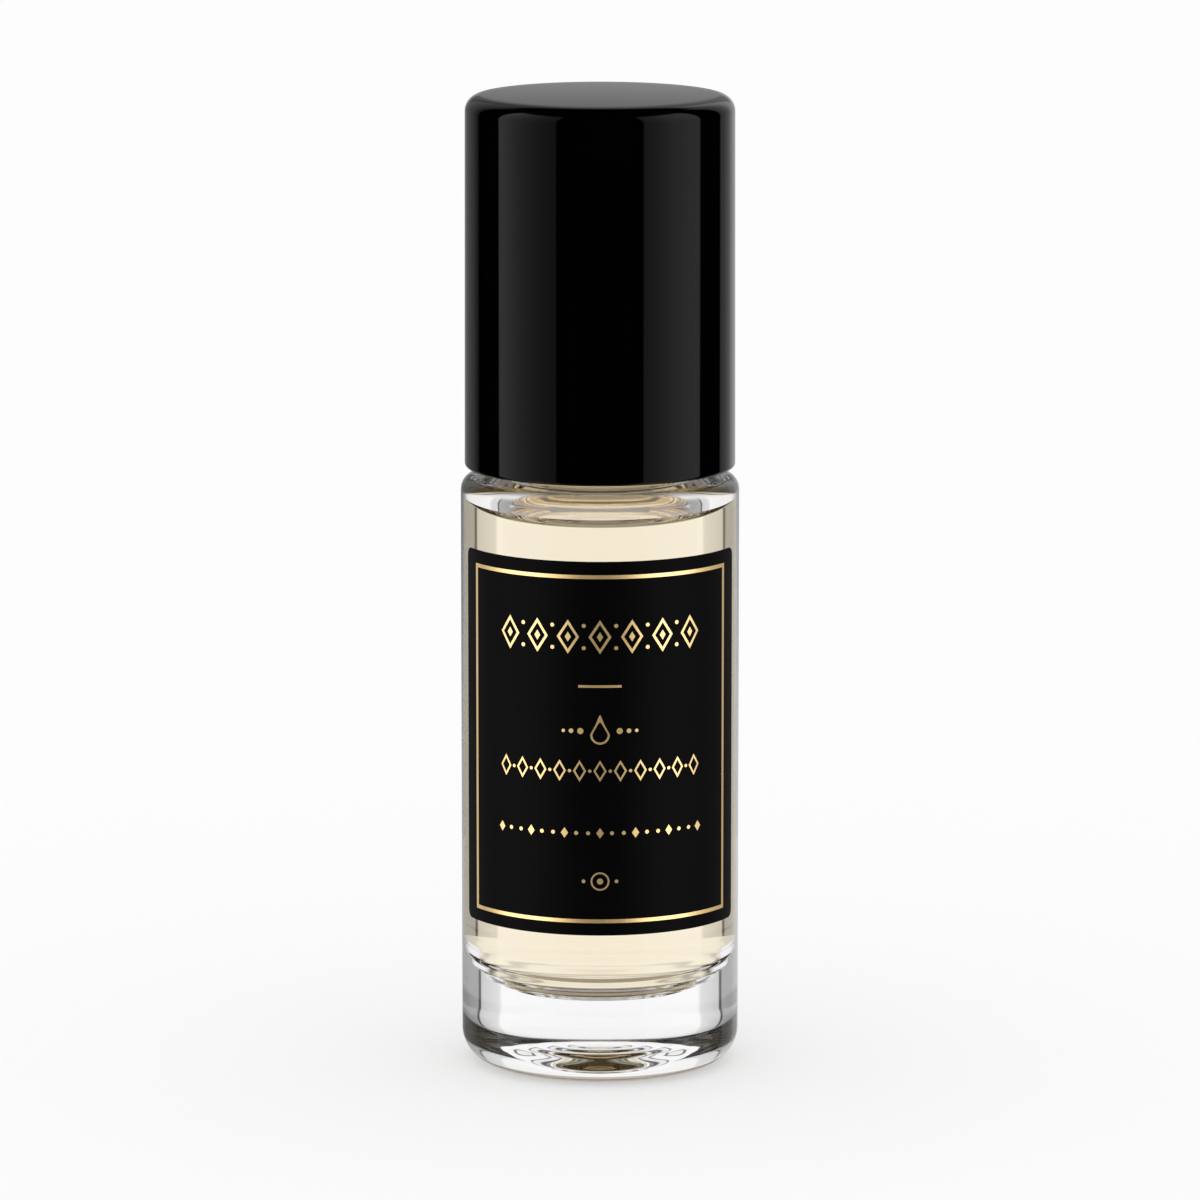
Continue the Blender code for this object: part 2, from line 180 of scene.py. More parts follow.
def turn(name, outline, steps=around_steps, ring=False):
    """Traces the outline and spins it about Z. A ring's outline comes back to its first point."""
    points = [outline[0]]
    for point in outline[1:]:
        if math.dist(point, points[-1]) > weld:
            points.append(point)
    if ring:
        points.append(points[0])
    piece = start_point(name, (points[0][0], 0, points[0][1]))
    for (r, z), (next_r, next_z) in zip(points, points[1:]):
        bpy.ops.mesh.extrude_vertices_move(
            TRANSFORM_OT_translate={"value": (next_r - r, 0, next_z - z)})
    bpy.ops.mesh.select_all(action="SELECT")
    bpy.ops.mesh.spin(steps=steps, angle=math.tau, center=(0, 0, 0), axis=(0, 0, 1))
    bpy.ops.mesh.select_all(action="SELECT")
    bpy.ops.mesh.remove_doubles(threshold=weld)
    bpy.ops.mesh.normals_make_consistent(inside=False)
    bpy.ops.object.mode_set(mode="OBJECT")
    print(name, "turned from", len(points), "points:", len(piece.data.polygons), "faces")
    return piece


def smooth(piece, angle_deg=35):
    """Shades round faces smooth and keeps edges that are sharper than the angle."""
    pick(piece)
    bpy.ops.object.shade_smooth_by_angle(angle=math.radians(angle_deg))


# %% [markdown]
# ## Glass bottle
# The real bottle is thick moulded glass: a cylinder with a heavy base, a hollow under it that leaves
# a narrow ring to stand on, and a narrow neck. What makes thick glass look real is its inside, since
# the eye sees the inner floor, its rounded corner and the hollow through the wall. So the outline
# starts at the middle of the inner floor, climbs the inner wall, goes over the lip and comes down the
# outside to the hollow. The glassmaker's plunger leaves a slight dome and a crease on the inner floor
# and faint waves in its corner. Flat rings like those of a dropped stone run round the hollow below,
# where the cooling glass shrank, and they bend what it mirrors into dark and light circles.

# %% Inner floor and oil line
meniscus_rise = 0.75 * MM
meniscus_reach = 0.62 * MM
wet_top = oil_level + meniscus_rise
corner_steps = 72
floor_waves = 4
floor_wave_height = 0.08 * MM


def cavity_floor(clearance=0.0):
    """The domed floor and the rounded corner of the cavity, from the axis outwards."""
    crease = math.radians(floor_crease_angle)
    corner_r = cavity_radius - floor_corner_radius
    corner_z = base_thickness + floor_corner_radius * math.cos(crease)
    corner = []
    for i in range(corner_steps + 1):
        share = i / corner_steps
        angle = math.radians(floor_crease_angle - 90 + (90 - floor_crease_angle) * share)
        wave = floor_wave_height * math.sin(math.tau * floor_waves * share) * math.sin(math.pi * share)
        radius = floor_corner_radius - clearance + wave
        corner.append((corner_r + radius * math.cos(angle), corner_z + radius * math.sin(angle)))
    return bowl(corner[0][0], corner[0][1], base_thickness + floor_dome + clearance)[:-1] + corner


floor_corner_top = base_thickness + floor_corner_radius * math.cos(math.radians(floor_crease_angle))
print("oil touches the glass up to", round(wet_top / MM, 2), "mm")

# %% Hollow under the base
punt_radius = body_radius - heel_radius - standing_ring_width
ripple_start = 0.9 * MM
ripple_end = 4.2 * MM
ripple_spacing = 0.85 * MM
ripple_height = 0.045 * MM
punt_steps = 96

punt = []
for r, z in bowl(punt_radius, 0.0, punt_depth, punt_steps):
    inside = min(max((r - ripple_start) / (ripple_end - ripple_start), 0.0), 1.0)
    ripple = math.sin(math.tau * (r - ripple_start) / ripple_spacing) * math.sin(math.pi * inside)
    punt.append((r, z + ripple_height * ripple))
print("hollow under the base", round(punt[0][1] / MM, 2), "mm deep in the middle")

# %% Turn the bottle
neck_ring_spacing = 0.12 * MM

bottle_outline = cavity_floor()
bottle_outline += [(cavity_radius, oil_level - meniscus_rise), (cavity_radius, wet_top)]
bottle_outline += ease((cavity_radius, inner_shoulder),
                       (neck_bore_radius, inner_shoulder + inner_shoulder_rise))
bottle_outline += arc(neck_bore_radius + neck_lip_radius, neck_top - neck_lip_radius,
                      neck_lip_radius, 180, 90)
bottle_outline += arc(neck_root_radius - neck_lip_radius, neck_top - neck_lip_radius,
                      neck_lip_radius, 90, 0)
bottle_outline += straight((neck_root_radius, neck_top - neck_lip_radius),
                           (neck_root_radius, shoulder_height + neck_root_fillet), neck_ring_spacing)
bottle_outline += arc(neck_root_radius + neck_root_fillet, shoulder_height + neck_root_fillet,
                      neck_root_fillet, 180, 270)
bottle_outline += arc(body_radius - shoulder_radius, shoulder_height - shoulder_radius,
                      shoulder_radius, 90, 0, 16)
bottle_outline += arc(body_radius - heel_radius, heel_radius, heel_radius, 0, -90, 20)
bottle_outline += reversed(punt)
glass_bottle = turn("clear_glass_bottle", bottle_outline)

# %% [markdown]
# ## Threads
# A glass thread is a round bead that climbs the neck and melts into it at both ends. It could be a
# tube joined by a Boolean, which leaves a hard seam. Here the wall already has a ring of points every
# 0.12 mm, so each point near the thread's path is simply pushed out by the bead's height there. The
# cap's liner gets its rib in the same way, pushed inwards.

# %% Push a thread out of a wall
wall_margin = 0.01 * MM
bead_end_share = 0.15


def raise_thread(piece, wall, stand, rounding, start_z, turns):
    """Moves the points of a round wall into a fading bead, inwards where stand is negative."""
    side = 1.0 if stand > 0 else -1.0
    run = turns * math.tau * wall
    end_z = start_z + turns * thread_pitch
    moved = 0
    for vertex in piece.data.vertices:
        x, y, z = vertex.co
        on_wall = abs(math.hypot(x, y) - wall) <= wall_margin
        if not (on_wall and start_z - rounding < z < end_z + rounding):
            continue
        around = math.atan2(y, x) % math.tau
        height = 0.0
        for lap in range(math.ceil(turns)):
            share = (around + lap * math.tau) / (turns * math.tau)
            if share > 1.0:
                continue
            fade = min(run * min(share, 1.0 - share) / thread_fade, 1.0)
            size = bead_end_share + (1.0 - bead_end_share) * math.sin(0.5 * math.pi * fade)
            off = z - (start_z + thread_pitch * turns * share)
            if abs(off) < rounding * size:
                height = max(height, abs(stand) * size + math.sqrt((rounding * size) ** 2 - off ** 2))
        if height > 0.0:
            radius = wall + side * height
            vertex.co = (radius * math.cos(around), radius * math.sin(around), z)
            moved += 1
    print(piece.name, "thread:", moved, "points moved")


raise_thread(glass_bottle, neck_root_radius, thread_stand, thread_rounding, thread_start, thread_turns)
smooth(glass_bottle, 50)

# %% [markdown]
# ## Oil
# The oil wets the glass, so there is no air between the two and its edge climbs the wall a little. A
# renderer has to be told that. The oil's side lies a hair inside the glass and doesn't bend light
# itself, while the part of the glass that it wets bends light only by the step from glass to oil.
# Only the oil's top is a real surface between oil and air.

# %% Turn the oil
oil_film = 0.004 * MM
oil_radius = cavity_radius - oil_film
flat_share = 0.4
flat_steps = 6
meniscus_steps = 40

oil_outline = [(oil_radius * flat_share * i / flat_steps, oil_level) for i in range(flat_steps + 1)]
for i in range(1, meniscus_steps + 1):
    r = oil_radius * (flat_share + (1.0 - flat_share) * i / meniscus_steps)
    oil_outline.append((r, oil_level + meniscus_rise * math.exp((r - oil_radius) / meniscus_reach)))
oil_outline += reversed(cavity_floor(oil_film))
perfume_oil = turn("pale_perfume_oil", oil_outline)
smooth(perfume_oil, 60)

# %% [markdown]
# ## Cap shell
# The outer cap is one moulding of gloss black plastic with a flat top, a soft edge and a slight taper
# that lets it leave the mould. Its fins inside, which the liner butts against, are made once as a
# block, copied round the axis and joined to the shell by a Boolean.

# %% Turn the shell
shell_draft = 0.07 * MM
shell_wall = 1.02 * MM
shell_roof = 1.2 * MM
shell_top_fillet = 1.05 * MM
shell_crown = 0.03 * MM
shell_inner_fillet = 0.5 * MM
shell_rim_rounding = 0.25 * MM
shell_rim_radius = shell_high[0]
shell_top_radius = shell_rim_radius - shell_draft
shell_bore_radius = shell_top_radius - shell_wall
shell_bottom, shell_top = shell_low[2], shell_high[2]
shell_ceiling = shell_top - shell_roof

shell_outline = bowl(shell_top_radius - shell_top_fillet, shell_top - shell_crown, shell_top, 12)
shell_outline += arc(shell_top_radius - shell_top_fillet, shell_top - shell_crown - shell_top_fillet,
                     shell_top_fillet, 90, 0, 20)
shell_outline += arc(shell_rim_radius - shell_rim_rounding, shell_bottom + shell_rim_rounding,
                     shell_rim_rounding, 0, -90)
shell_outline += [(shell_bore_radius, shell_bottom)]
shell_outline += arc(shell_bore_radius - shell_inner_fillet, shell_ceiling - shell_inner_fillet,
                     shell_inner_fillet, 0, 90)
shell_outline += [(0.0, shell_ceiling)]
cap_shell = turn("gloss_cap_shell", shell_outline)

# %% Fins inside the shell
fin_depth = 1.4 * MM
fin_thickness = 0.8 * MM
fin_overrun = 0.4 * MM
fin_bottom = liner_high[2] + fit_gap
fin_height = shell_ceiling - fin_bottom + fin_overrun
fin_count = 6

bpy.ops.mesh.primitive_cube_add(size=1.0, location=(0, 0, 0))
fins = bpy.context.object
fins.name = "cap_fins"
edit_all()
bpy.ops.transform.resize(value=(fin_depth + fin_overrun, fin_thickness, fin_height))
bpy.ops.transform.translate(value=(shell_bore_radius - 0.5 * fin_depth + 0.5 * fin_overrun, 0.0,
                                   fin_bottom + 0.5 * fin_height))
bpy.ops.mesh.spin(steps=fin_count, dupli=True, angle=math.tau, center=(0, 0, 0), axis=(0, 0, 1))
bpy.ops.mesh.select_all(action="SELECT")
bpy.ops.mesh.remove_doubles(threshold=weld)
bpy.ops.mesh.normals_make_consistent(inside=False)
bpy.ops.object.mode_set(mode="OBJECT")
print("cap fins:", len(fins.data.polygons), "faces")

# %% Join the fins to the shell
pick(cap_shell)
union = cap_shell.modifiers.new("fins", "BOOLEAN")
union.operation = "UNION"
union.solver = "EXACT"
union.object = fins
bpy.ops.object.modifier_apply(modifier="fins")
bpy.data.objects.remove(fins, do_unlink=True)
smooth(cap_shell, 40)
print("cap shell with fins:", len(cap_shell.data.polygons), "faces")

# %% [markdown]
# ## Cap liner and seal
# Inside the shell sits a white threaded insert with a chamfered mouth, and under its roof a soft disc
# that presses on the ball. They only show when the cap is off, but then they tell how the bottle
# closes, so both are turned as finely as the rest.

# %% Turn the liner and its rib
liner_roof = 0.8 * MM
liner_rounding = 0.4 * MM
liner_lead_in = 0.5 * liner_wall
liner_rib_turns = 1.25
liner_rib_rounding = 0.2 * thread_pitch
liner_rib_stand = liner_bore_radius - neck_root_radius - fit_gap - liner_rib_rounding
liner_bottom, liner_top = liner_low[2], liner_high[2]
liner_ceiling = liner_top - liner_roof

liner_outline = [(0.0, liner_top)]
liner_outline += arc(liner_radius - liner_rounding, liner_top - liner_rounding, liner_rounding, 90, 0)
liner_outline += [(liner_radius, liner_bottom), (liner_bore_radius + liner_lead_in, liner_bottom)]
liner_outline += straight((liner_bore_radius, liner_bottom + liner_lead_in),
                          (liner_bore_radius, thread_start + liner_rib_turns * thread_pitch),
                          neck_ring_spacing)
liner_outline += [(liner_bore_radius, liner_ceiling), (0.0, liner_ceiling)]
cap_liner = turn("threaded_cap_liner", liner_outline)
raise_thread(cap_liner, liner_bore_radius, -liner_rib_stand, liner_rib_rounding,
             thread_start - 0.5 * thread_pitch, liner_rib_turns)
smooth(cap_liner, 40)

# %% Turn the seal disc
seal_radius = seal_high[0]
seal_chamfer = 0.1 * MM
seal_bottom, seal_top = seal_low[2], seal_high[2]
seal_outline = [(0.0, seal_top), (seal_radius - seal_chamfer, seal_top),
                (seal_radius, seal_top - seal_chamfer), (seal_radius, seal_bottom + seal_chamfer),
                (seal_radius - seal_chamfer, seal_bottom), (0.0, seal_bottom)]
seal_disc = turn("soft_seal_disc", seal_outline)
smooth(seal_disc, 30)

# %% [markdown]
# ## Roller
# The housing is a plug of natural plastic with three sealing beads, a flange that stops it on the
# glass and a cup whose lip closes over the ball's widest ring. The ball is turned from a half circle,
# so that its poles lie on the bottle's axis.

# %% Turn the roller housing
cup_radius = ball_radius + 0.15 * MM
plug_radius = neck_bore_radius - fit_gap
flow_bore_radius = plug_radius - 1.8 * MM
housing_seat = neck_top + fit_gap
head_radius = cup_radius + 1.15 * MM
head_rounding = 0.6 * MM
flange_radius = housing_high[0]
flange_top = housing_seat + 0.7 * MM
lip_z = housing_high[2]
plug_bottom = housing_low[2]
plug_lead_in = 0.5 * MM
bead_height = 0.15 * MM
bead_width = 0.7 * MM
bead_count = 3
bead_spacing = (housing_seat - plug_bottom - plug_lead_in) / (bead_count + 1)
lip_deg = math.degrees(math.asin((lip_z - ball_centre) / cup_radius))
drain_deg = -math.degrees(math.acos(flow_bore_radius / cup_radius))

housing_outline = arc(head_radius - head_rounding, lip_z - head_rounding, head_rounding, 90, 0)
housing_outline += [(head_radius, flange_top), (flange_radius, flange_top),
                    (flange_radius, housing_seat), (plug_radius, housing_seat)]
for i in range(1, bead_count + 1):
    bead_z = housing_seat - bead_spacing * i
    housing_outline += [(plug_radius, bead_z + 0.5 * bead_width), (plug_radius + bead_height, bead_z),
                        (plug_radius, bead_z - 0.5 * bead_width)]
housing_outline += [(plug_radius, plug_bottom + plug_lead_in), (plug_radius - plug_lead_in, plug_bottom),
                    (flow_bore_radius, plug_bottom)]
housing_outline += arc(0.0, ball_centre, cup_radius, drain_deg, lip_deg, 48)
roller_housing = turn("roller_ball_housing", housing_outline, ring=True)
smooth(roller_housing, 25)

# %% Turn the ball
ball_steps = 72
ball_outline = arc(0.0, ball_centre, ball_radius, 90, -90, ball_steps)
roller_ball = turn("steel_roller_ball", ball_outline, 2 * ball_steps)
smooth(roller_ball, 60)

# %% [markdown]
# ## Label
# The label is a thin black film, glued round the front of the glass. It is drawn flat first, as a
# printer would, with its corners rounded by Bevel. Then it is cut into upright strips with Bisect, so
# that it can bend, and each point is laid round the cylinder. A Shrinkwrap modifier could do that too,
# but it would pull the sides in, where a real label keeps its width along the arc.

# %% Flat work and wrapping
strip_width = 0.15 * MM


def size_and_stand(name, width, height, centre_x, centre_z, line=0.0):
    """Names the shape just drawn on the floor, gives it its size and stands it at its place.

    X runs across the flat label and Z up it. With a line width, only the outline is kept.
    """
    plate = bpy.context.object
    plate.name = name
    plate.data.name = name
    edit_all()
    bpy.ops.transform.resize(value=(width, height, 1.0))
    if line:
        bpy.ops.mesh.inset(thickness=line)
        bpy.ops.mesh.delete(type="FACE")
    bpy.ops.object.mode_set(mode="OBJECT")
    for vertex in plate.data.vertices:
        x, y, z = vertex.co
        vertex.co = (x + centre_x, 0.0, y + centre_z)
    return plate


def flat_plate(name, width, height, centre_x, centre_z, line=0.0):
    """A rectangle of the flat label."""
    bpy.ops.mesh.primitive_plane_add(size=1.0, location=(0, 0, 0))
    return size_and_stand(name, width, height, centre_x, centre_z, line)


def flat_polygon(name, corners, half_width, half_height, centre_x, centre_z, line=0.0):
    """A many-sided plate: 4 corners make a lozenge, and many make a dot."""
    bpy.ops.mesh.primitive_circle_add(vertices=corners, radius=1.0, fill_type="NGON", location=(0, 0, 0))
    return size_and_stand(name, half_width, half_height, centre_x, centre_z, line)


def wrap_round_glass(piece, radius, thickness):
    """Bends a flat piece round the glass at that radius and gives it its thickness outwards."""
    pick(piece)
    low = min(v.co.x for v in piece.data.vertices)
    high = max(v.co.x for v in piece.data.vertices)
    bpy.ops.object.mode_set(mode="EDIT")
    for i in range(1, math.ceil((high - low) / strip_width)):
        bpy.ops.mesh.select_all(action="SELECT")
        bpy.ops.mesh.bisect(plane_co=(low + strip_width * i, 0, 0), plane_no=(1, 0, 0))
    bpy.ops.object.mode_set(mode="OBJECT")
    for vertex in piece.data.vertices:
        angle = vertex.co.x / body_radius
        vertex.co = (radius * math.sin(angle), -radius * math.cos(angle), vertex.co.z)
    first = piece.data.polygons[0]
    outwards = first.normal.x * first.center.x + first.normal.y * first.center.y > 0
    film = piece.modifiers.new("thickness", "SOLIDIFY")
    film.thickness = thickness
    film.offset = 1.0 if outwards else -1.0
    bpy.ops.object.modifier_apply(modifier="thickness")
    edit_all()
    bpy.ops.mesh.normals_make_consistent(inside=False)
    bpy.ops.object.mode_set(mode="OBJECT")
    smooth(piece, 40)
    print(piece.name, "wrapped:", len(piece.data.polygons), "faces")
    return piece


# %% Cut and wrap the film
film_width = 21.8 * MM
film_corner = 0.5 * MM
film_thickness = 0.08 * MM
film_inner_radius = body_radius - 0.01 * MM

front_label = flat_plate("black_film_label", film_width, label_high[2] - label_low[2],
                         0.0, 0.5 * (label_high[2] + label_low[2]))
edit_all()
bpy.ops.mesh.bevel(offset=film_corner, segments=6, affect="VERTICES")
bpy.ops.object.mode_set(mode="OBJECT")
wrap_round_glass(front_label, film_inner_radius, film_thickness)

# %% [markdown]
# ## Gold foil
# The label's print is hot-stamped gold: a thin frame and a few small ornaments down the middle. Each
# is cut from flat shapes a hair thick and wrapped on the film. The ornaments are plain ones that any
# printer has, lozenges, dots, a rule, a drop and a ring.

# %% Frame
foil_inner_radius = film_inner_radius + film_thickness + 0.002 * MM
foil_thickness = 0.012 * MM
frame_line = 0.25 * MM
frame_half_angle = 60.35
frame_width = 2 * math.radians(frame_half_angle) * body_radius + frame_line
frame_low, frame_high = 11.04 * MM, 33.42 * MM

gold_frame = flat_plate("gold_foil_frame", frame_width, frame_high - frame_low + frame_line,
                        0.0, 0.5 * (frame_high + frame_low), frame_line)
wrap_round_glass(gold_frame, foil_inner_radius, foil_thickness)

# %% Join the plates of an ornament
def join_plates(name, plates):
    """Joins flat plates into one piece and wraps it on the film."""
    pick(plates[0])
    for plate in plates[1:]:
        plate.select_set(True)
    bpy.ops.object.join()
    piece = bpy.context.object
    piece.name = name
    piece.data.name = name
    return wrap_round_glass(piece, foil_inner_radius, foil_thickness)


# %% Chain of lozenges
chain_z = 29.55 * MM
chain_pitch = 2.05 * MM
chain_line = 0.16 * MM
lozenge_size = (0.72 * MM, 1.1 * MM)
lozenge_heart_size = (0.2 * MM, 0.32 * MM)
chain_dot_size = (0.13 * MM, 0.13 * MM)
chain_dot_rise = 0.72 * MM

chain = []
for i in range(-3, 4):
    chain.append(flat_polygon("lozenge", 4, *lozenge_size, i * chain_pitch, chain_z, line=chain_line))
    chain.append(flat_polygon("lozenge_heart", 4, *lozenge_heart_size, i * chain_pitch, chain_z))
for i in range(-3, 3):
    for side in (-1, 1):
        chain.append(flat_polygon("dot", 16, *chain_dot_size, (i + 0.5) * chain_pitch,
                                  chain_z + side * chain_dot_rise))
lozenge_chain = join_plates("gold_lozenge_chain", chain)

# %% Short rule
rule_z = 26.35 * MM
rule_size = (2.75 * MM, 0.16 * MM)
short_rule = join_plates("gold_short_rule", [flat_plate("rule", *rule_size, 0.0, rule_z)])

# %% Drop between dots
drop_z = 23.45 * MM
drop_radius = 0.62 * MM
drop_line = 0.13 * MM
drop_sink = 0.25 * MM
drop_narrowing, drop_stretch = 0.62, 1.1
drop_dots = ((1.25 * MM, 0.2 * MM), (1.85 * MM, 0.15 * MM), (2.35 * MM, 0.11 * MM))

drop = flat_polygon("drop", 32, drop_radius, drop_radius, 0.0, 0.0, line=drop_line)
for vertex in drop.data.vertices:
    x, y, z = vertex.co
    if z > 0:
        rise = z / drop_radius
        vertex.co = (x * (1.0 - drop_narrowing * rise ** 1.5), y, z * (1.0 + drop_stretch * rise ** 2))
for vertex in drop.data.vertices:
    vertex.co.z += drop_z - drop_sink
drop_row = [drop]
for side in (-1, 1):
    for distance, dot_radius in drop_dots:
        drop_row.append(flat_polygon("dot", 16, dot_radius, dot_radius, side * distance, drop_z))
drop_and_dots = join_plates("gold_drop_and_dots", drop_row)

# %% Row of small lozenges
row_z = 20.85 * MM
row_pitch = 1.3 * MM
row_line = 0.12 * MM
row_lozenge_size = (0.42 * MM, 0.7 * MM)
row_dot_size = (0.11 * MM, 0.11 * MM)

row = []
for i in range(-5, 6):
    row.append(flat_polygon("small_lozenge", 4, *row_lozenge_size, i * row_pitch, row_z, line=row_line))
for i in range(-5, 5):
    row.append(flat_polygon("dot", 12, *row_dot_size, (i + 0.5) * row_pitch, row_z))
lozenge_row = join_plates("gold_lozenge_row", row)

# %% Dotted line
dotted_z = 16.8 * MM
dotted_pitch = 0.76 * MM
dotted_lozenge_size = (0.24 * MM, 0.34 * MM)
dotted_dot_size = (0.13 * MM, 0.13 * MM)

dots = []
for i in range(-9, 10):
    if i % 3 == 0:
        dots.append(flat_polygon("small_lozenge", 4, *dotted_lozenge_size, i * dotted_pitch, dotted_z))
    else:
        dots.append(flat_polygon("dot", 12, *dotted_dot_size, i * dotted_pitch, dotted_z))
dotted_line = join_plates("gold_dotted_line", dots)

# %% Ring between dots
ring_z = 13.65 * MM
ring_line = 0.11 * MM
ring_size = (0.6 * MM, 0.6 * MM)
ring_heart_size = (0.2 * MM, 0.2 * MM)
ring_dot_size = (0.12 * MM, 0.12 * MM)
ring_dot_distance = 1.05 * MM

ring_plates = [flat_polygon("ring", 32, *ring_size, 0.0, ring_z, line=ring_line),
               flat_polygon("ring_heart", 16, *ring_heart_size, 0.0, ring_z)]
for side in (-1, 1):
    ring_plates.append(flat_polygon("dot", 12, *ring_dot_size, side * ring_dot_distance, ring_z))
gold_ring = join_plates("gold_ring", ring_plates)

foil_pieces = [gold_frame, lozenge_chain, short_rule, drop_and_dots, lozenge_row, dotted_line, gold_ring]

# %% [markdown]
# ## Effects that several finishes share
# Nothing that has been touched is evenly shiny, and nothing moulded is quite flat. Two small node
# groups give that: one for how handling dulls a surface in soft patches and fine hairlines, one for
# the height of a fine grain. They read object coordinates in metres, so a scale of 1000 makes detail
# about 1 mm across.

# %% Group helpers
def new_group(name, inputs, outputs):
    group = bpy.data.node_groups.new(name, "ShaderNodeTree")
    for socket, default in inputs:
        made = group.interface.new_socket(name=socket, in_out="INPUT", socket_type="NodeSocketFloat")
        made.default_value = default
    for socket in outputs:
        group.interface.new_socket(name=socket, in_out="OUTPUT", socket_type="NodeSocketFloat")
    return group, group.nodes.new("NodeGroupInput"), group.nodes.new("NodeGroupOutput")


def add_node(tree, kind, inputs=(), **settings):
    """Adds a node. Each input is a socket's name or number with a value or another node's output."""
    node = tree.nodes.new(kind)
    for name, value in settings.items():
        setattr(node, name, value)
    for socket, value in inputs:
        if isinstance(value, bpy.types.NodeSocket):
            tree.links.new(value, node.inputs[socket])
        else:
            node.inputs[socket].default_value = value
    return node


# %% Handling: soft patches and hairlines
handling, handling_in, handling_out = new_group(
    "handling", (("Patch Scale", 120.0), ("Hairline Scale", 900.0), ("Least", 0.02), ("Most", 0.06)),
    ("Roughness",))
place = add_node(handling, "ShaderNodeTexCoord").outputs["Object"]
patches = add_node(handling, "ShaderNodeTexNoise", (
    ("Vector", place), ("Scale", handling_in.outputs["Patch Scale"]), ("Detail", 3.0), ("Roughness", 0.55)))
slant = add_node(handling, "ShaderNodeMapping", (
    ("Vector", place), ("Rotation", (0.4, 0.7, 0.2)), ("Scale", (1.0, 14.0, 2.0))))
hairs = add_node(handling, "ShaderNodeTexNoise", (
    ("Vector", slant.outputs[0]), ("Scale", handling_in.outputs["Hairline Scale"]), ("Detail", 2.0),
    ("Distortion", 0.3)))
thin = add_node(handling, "ShaderNodeMapRange", (
    ("Value", hairs.outputs["Fac"]), ("From Min", 0.62), ("From Max", 0.74), ("To Min", 0.0),
    ("To Max", 0.5)))
patchy = add_node(handling, "ShaderNodeMapRange", (
    ("Value", patches.outputs["Fac"]), ("From Min", 0.4), ("From Max", 0.75), ("To Min", 0.0),
    ("To Max", 0.8)), interpolation_type="SMOOTHSTEP")
both = add_node(handling, "ShaderNodeMath", ((0, thin.outputs[0]), (1, patchy.outputs[0])),
                operation="ADD", use_clamp=True)
level = add_node(handling, "ShaderNodeMapRange", (
    ("Value", both.outputs[0]), ("To Min", handling_in.outputs["Least"]),
    ("To Max", handling_in.outputs["Most"])))
handling.links.new(level.outputs[0], handling_out.inputs["Roughness"])
print("group", handling.name, "has", len(handling.nodes), "nodes")

# %% Grain: a fine relief
grain, grain_in, grain_out = new_group("grain", (("Scale", 2000.0),), ("Height", "Shade"))
place = add_node(grain, "ShaderNodeTexCoord").outputs["Object"]
fine = add_node(grain, "ShaderNodeTexNoise", (
    ("Vector", place), ("Scale", grain_in.outputs["Scale"]), ("Detail", 4.0), ("Roughness", 0.6)))
broad_scale = add_node(grain, "ShaderNodeMath", ((0, grain_in.outputs["Scale"]), (1, 0.08)),
                       operation="MULTIPLY")
broad = add_node(grain, "ShaderNodeTexNoise", (
    ("Vector", place), ("Scale", broad_scale.outputs[0]), ("Detail", 2.0)))
grain.links.new(fine.outputs["Fac"], grain_out.inputs["Height"])
grain.links.new(broad.outputs["Fac"], grain_out.inputs["Shade"])
print("group", grain.name, "has", len(grain.nodes), "nodes")

# %% Material helpers
def new_material(name, colour, **values):
    """A Principled material. A value's name is its socket's, with underscores for spaces."""
    material = bpy.data.materials.new(name)
    material.use_nodes = True
    material.diffuse_color = (*colour, 1.0)
    shader = material.node_tree.nodes["Principled BSDF"]
    shader.inputs["Base Color"].default_value = (*colour, 1.0)
    for socket, value in values.items():
        shader.inputs[socket.replace("_", " ")].default_value = value
    return material, material.node_tree, shader


def add_group(tree, group, **values):
    node = tree.nodes.new("ShaderNodeGroup")
    node.node_tree = group
    for socket, value in values.items():
        node.inputs[socket.replace("_", " ")].default_value = value
    return node


def handled(tree, shader, least, most, patch_scale=120.0, hairline_scale=900.0):
    """Feeds the shader's roughness from the handling group."""
    node = add_group(tree, handling, Patch_Scale=patch_scale, Hairline_Scale=hairline_scale,
                     Least=least, Most=most)
    tree.links.new(node.outputs["Roughness"], shader.inputs["Roughness"])


def relief(tree, shader, scale, distance, strength=1.0):
    """Feeds the shader's normal from the grain group. The distance is the height in metres."""
    node = add_group(tree, grain, Scale=scale)
    bump = add_node(tree, "ShaderNodeBump", (
        ("Strength", strength), ("Distance", distance), ("Height", node.outputs["Height"])))
    tree.links.new(bump.outputs["Normal"], shader.inputs["Normal"])
    return node


def shaded(tree, shader, grain_node, dark, light):
    """Lets the base colour drift between two near colours over the surface."""
    mix = add_node(tree, "ShaderNodeMix", (
        (0, grain_node.outputs["Shade"]), (6, (*dark, 1.0)), (7, (*light, 1.0))), data_type="RGBA")
    tree.links.new(mix.outputs[2], shader.inputs["Base Color"])


# %% [markdown]
# ## Glass and oil
# Clear glass has an index of 1.5 and this oil about 1.48. The inner wall that the oil wets gets its
# own slot, with the quotient of the two. In the photograph the waves of the floor's corner bend light
# more than that, so they have a slot of their own. A faint haze greys the thick base. The ring that
# the bottle stands on is scuffed, and its dark brown tint is painted shade where the glass meets the
# floor. Glass blocks the rays that look for lamps, and without caustics its shadow would be as black
# as that of metal, so in all clear materials such shadow rays pass with a small loss. The oil's
# colour comes mostly from its depth.

# %% Indices and shadows
glass_index = 1.5
oil_index = 1.48
wavy_floor_index = 1.12


